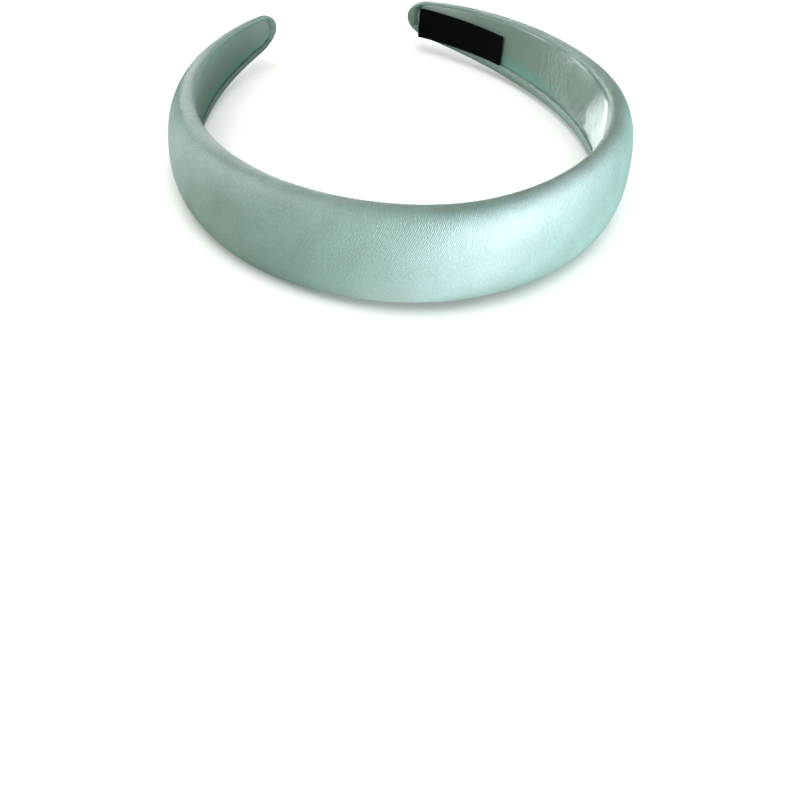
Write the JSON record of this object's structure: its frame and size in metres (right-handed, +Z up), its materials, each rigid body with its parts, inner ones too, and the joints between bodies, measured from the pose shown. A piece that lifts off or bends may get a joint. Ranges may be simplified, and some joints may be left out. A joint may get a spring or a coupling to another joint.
{
  "type": "padded headband",
  "caption": "Open padded hair hoop: satin-covered foam band, broad round the front and tapering to thin rounded arms, with a ribbon lining and a small blank woven tab inside.",
  "frame": {"origin": "centre of the band's outline on the surface that it lies on, the band lying on its side", "axes": "+Z up from the surface, through the hoop; -Y towards the broad padded front, +Y towards the mouth between the arms' ends; +X towards the arm that carries the tab"},
  "size_m": [0.1428, 0.1366, 0.0335],
  "materials": {
    "satin_cover": "mint polyester satin, glossy on one bias, drawn over foam",
    "lining_ribbon": "grey-green satin ribbon glued along the inner face",
    "woven_tab": "matt black woven tab, bare"
  },
  "bodies": {
    "root": {"padded_band": "satin_cover", "inner_lining": "lining_ribbon", "label": "woven_tab"}
  },
  "joints": []
}
